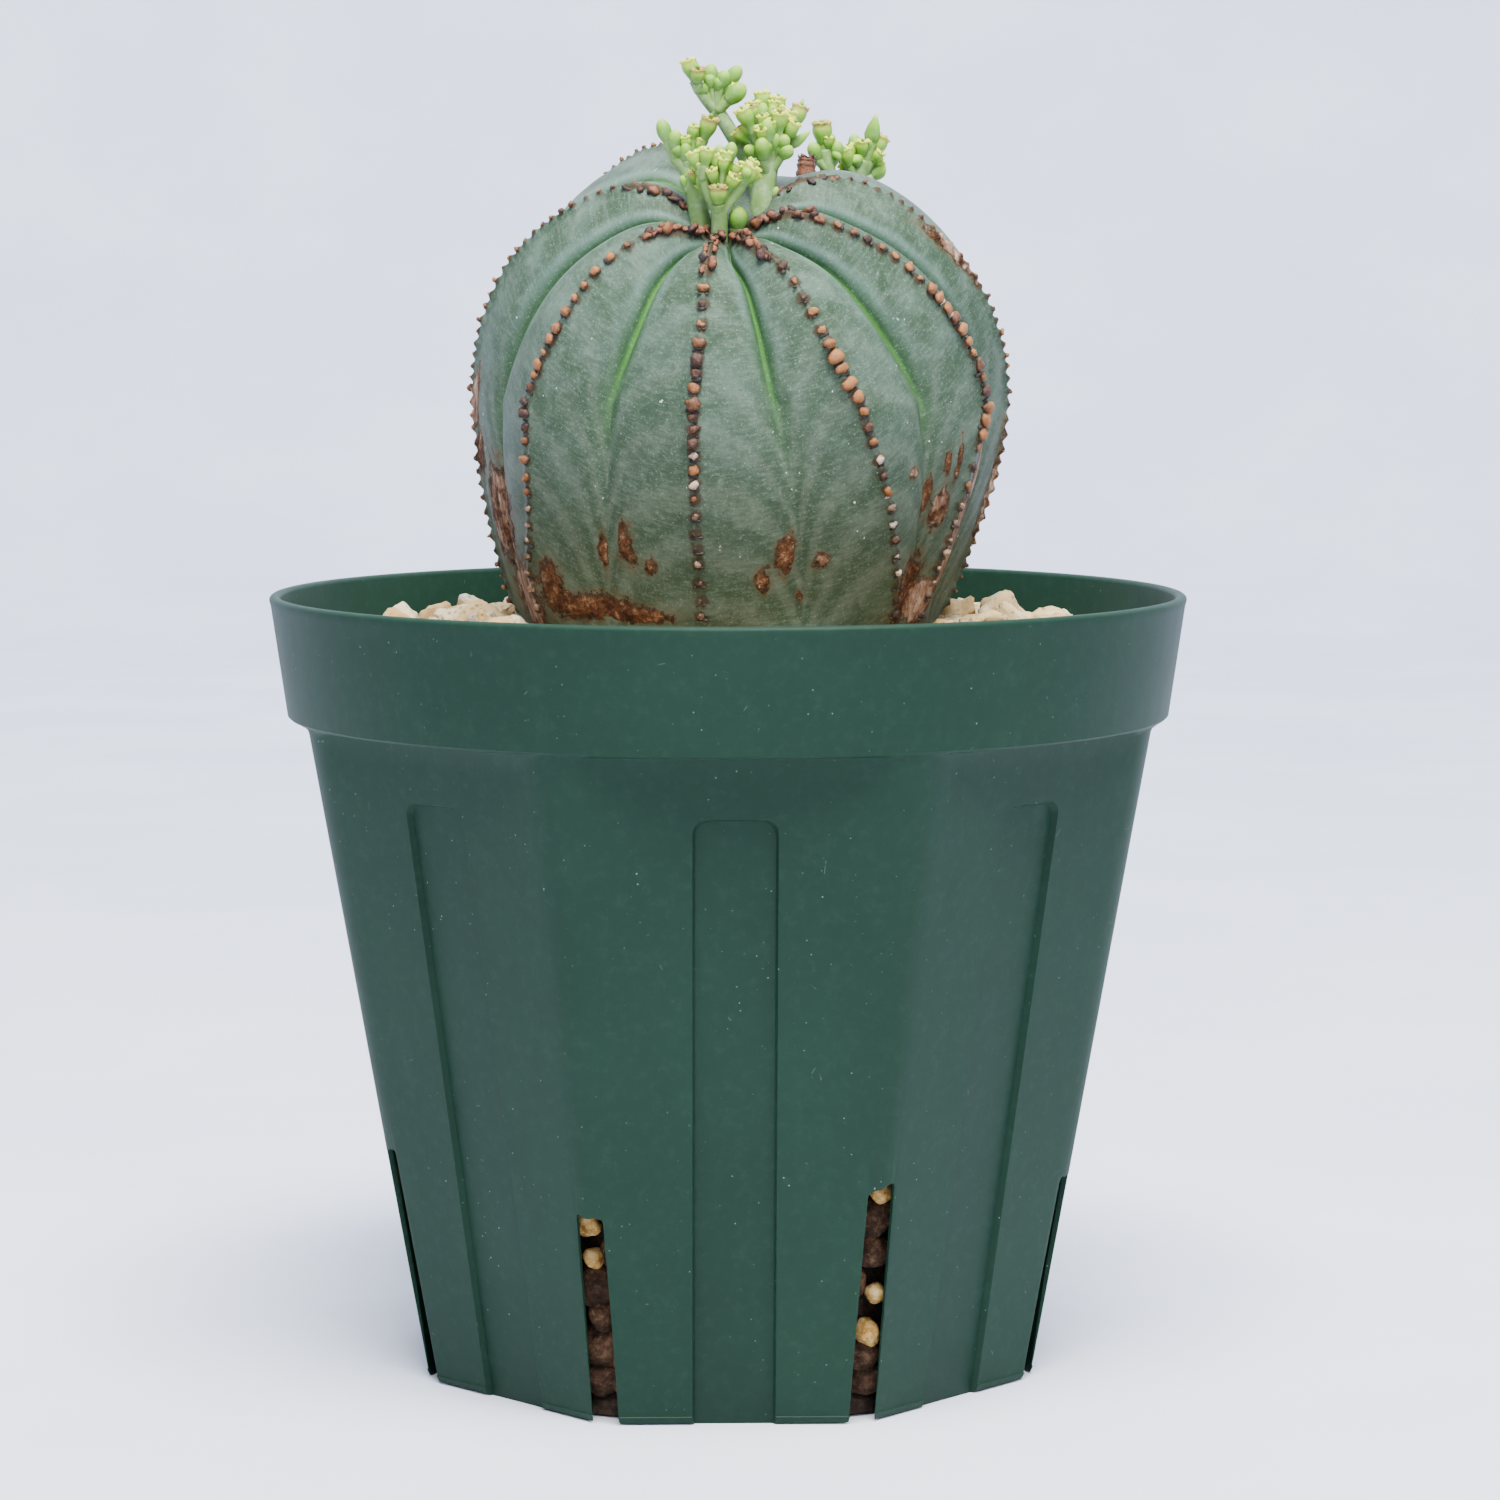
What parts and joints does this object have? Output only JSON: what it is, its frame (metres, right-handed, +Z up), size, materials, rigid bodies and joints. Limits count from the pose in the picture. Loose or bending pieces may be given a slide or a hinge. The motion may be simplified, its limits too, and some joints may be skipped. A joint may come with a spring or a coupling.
{
  "type": "potted baseball plant",
  "caption": "Ribbed globe succulent with crest nubs and flower stalks on its crown, in a round-rimmed eight-sided slit pot filled with brown mix and topped with pale stones",
  "frame": {"origin": "centre of the pot's underside, on the surface that it stands on", "axes": "+Z up along the pot's axis, -Y the side the picture shows, +X to the right in it"},
  "size_m": [0.105, 0.105, 0.1495],
  "materials": {
    "pot_plastic": "matte moulded, dark green, dusty",
    "brown_mix": "rough brown grains and bark",
    "pale_stone": "rough pale pumice-like stone",
    "plant_skin": "waxy grey-green skin with brown cork along the crests",
    "stalk_green": "soft pale green",
    "dry_cork": "dry brown cork"
  },
  "bodies": {
    "root": {"pot": "pot_plastic", "soil_mix": "brown_mix", "top_dressing": "pale_stone", "plant_body": "plant_skin", "spray_left": "stalk_green", "spray_centre": "stalk_green", "bud_short": "stalk_green", "spray_right": "stalk_green", "spray_back_left": "stalk_green", "spray_back_right": "stalk_green", "dried_stalk": "dry_cork"}
  },
  "joints": []
}
